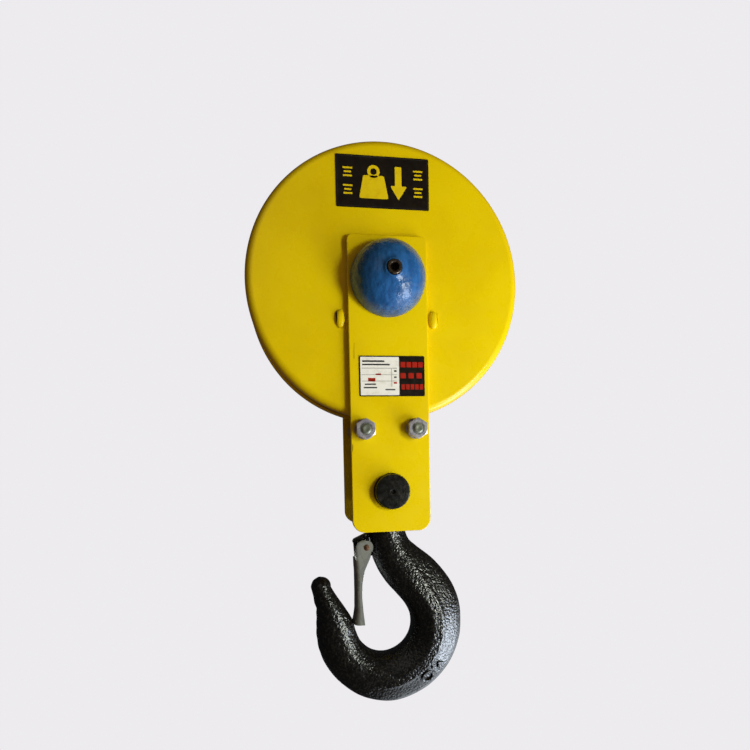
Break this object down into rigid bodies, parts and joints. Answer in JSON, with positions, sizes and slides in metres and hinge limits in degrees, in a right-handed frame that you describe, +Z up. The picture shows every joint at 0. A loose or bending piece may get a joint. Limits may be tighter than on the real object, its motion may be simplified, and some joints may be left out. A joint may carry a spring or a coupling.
{
  "type": "crane hook block",
  "caption": "Hook block for a wire rope hoist: a sheave between dished covers and side plates, over a crossbeam that carries a swivelling, swinging hook with a sprung safety latch.",
  "frame": {"origin": "centre of the sheave, on its axis and in the middle plane of the block", "axes": "+Z up towards the rope, +Y along the sheave's axis from the front (label) side to the rear, +X to the right seen from the front"},
  "size_m": [0.25, 0.1472, 0.5249],
  "materials": {
    "yellow_enamel": "glossy baked enamel",
    "blue_enamel": "glossy enamel with a few runs",
    "black_paint": "glossy black paint over a forged skin",
    "zinc_plate": "zinc plate",
    "bearing_steel": "ground steel",
    "cast_iron": "machined groove, cast sides",
    "bare_rivet": "bare steel, browned",
    "label_film": "printed vinyl",
    "label_paper": "printed vinyl"
  },
  "bodies": {
    "frame": {"capacity_label": "label_film", "data_label": "label_paper", "front_bearing_inner_race": "bearing_steel", "front_cover": "yellow_enamel", "front_dome_cap": "blue_enamel", "front_grease_stub": "bare_rivet", "front_lock_nut": "bearing_steel", "front_lock_washer": "zinc_plate", "front_shaft_sleeve": "bearing_steel", "front_side_plate": "yellow_enamel", "inner_race_spacer": "bearing_steel", "left_tie_bolt": "zinc_plate", "left_tie_head_washer": "zinc_plate", "left_tie_nut": "zinc_plate", "left_tie_spacer": "zinc_plate", "left_tie_washer": "zinc_plate", "lower_guard_band": "yellow_enamel", "rear_bearing_inner_race": "bearing_steel", "rear_cover": "yellow_enamel", "rear_dome_cap": "blue_enamel", "rear_grease_stub": "bare_rivet", "rear_lock_nut": "bearing_steel", "rear_lock_washer": "zinc_plate", "rear_shaft_sleeve": "bearing_steel", "rear_side_plate": "yellow_enamel", "right_tie_bolt": "zinc_plate", "right_tie_head_washer": "zinc_plate", "right_tie_nut": "zinc_plate", "right_tie_spacer": "zinc_plate", "right_tie_washer": "zinc_plate", "sheave_shaft": "bearing_steel"},
    "sheave": {"sheave": "cast_iron", "front_bearing_outer_race": "bearing_steel", "rear_bearing_outer_race": "bearing_steel", "front_hub_circlip": "bearing_steel", "rear_hub_circlip": "bearing_steel"},
    "front_cage": {"front_bearing_balls": "bearing_steel"},
    "rear_cage": {"rear_bearing_balls": "bearing_steel"},
    "beam": {"crossbeam": "black_paint", "thrust_lower_race": "bearing_steel"},
    "thrust_cage": {"thrust_balls": "bearing_steel"},
    "hook": {"hook": "black_paint", "hook_nut": "bearing_steel", "hook_nut_pin": "bearing_steel", "thrust_upper_race": "bearing_steel", "latch_pin": "bare_rivet", "latch_spring": "bearing_steel"},
    "latch": {"latch": "zinc_plate"}
  },
  "joints": [
    {"name": "sheave_spin", "type": "hinge", "parent": "frame", "child": "sheave", "pos_m": [0, 0, 0], "axis": [0, 1, 0], "continuous": true},
    {"name": "front_cage_spin", "type": "hinge", "parent": "frame", "child": "front_cage", "pos_m": [0, 0, 0], "axis": [0, 1, 0], "continuous": true},
    {"name": "rear_cage_spin", "type": "hinge", "parent": "frame", "child": "rear_cage", "pos_m": [0, 0, 0], "axis": [0, 1, 0], "continuous": true},
    {"name": "beam_swing", "type": "hinge", "parent": "frame", "child": "beam", "pos_m": [0, 0, -0.18926], "axis": [0, 1, 0], "range_deg": [-25, 25]},
    {"name": "hook_swivel", "type": "hinge", "parent": "beam", "child": "hook", "pos_m": [0, 0, -0.18926], "axis": [0, 0, 1], "continuous": true},
    {"name": "thrust_cage_spin", "type": "hinge", "parent": "beam", "child": "thrust_cage", "pos_m": [0, 0, -0.18926], "axis": [0, 0, 1], "continuous": true},
    {"name": "latch_pivot", "type": "hinge", "parent": "hook", "child": "latch", "pos_m": [-0.0205, 0, -0.24446], "axis": [0, -1, 0], "range_deg": [0, 26], "stiffness_Nm_per_rad": 0.2, "springref_deg": -34.38, "deforming": ["latch_spring"]}
  ],
  "couplings": [
    {"joint": "front_cage_spin", "follows": "sheave_spin", "ratio": 0.588},
    {"joint": "rear_cage_spin", "follows": "sheave_spin", "ratio": 0.588},
    {"joint": "thrust_cage_spin", "follows": "hook_swivel", "ratio": 0.5}
  ]
}
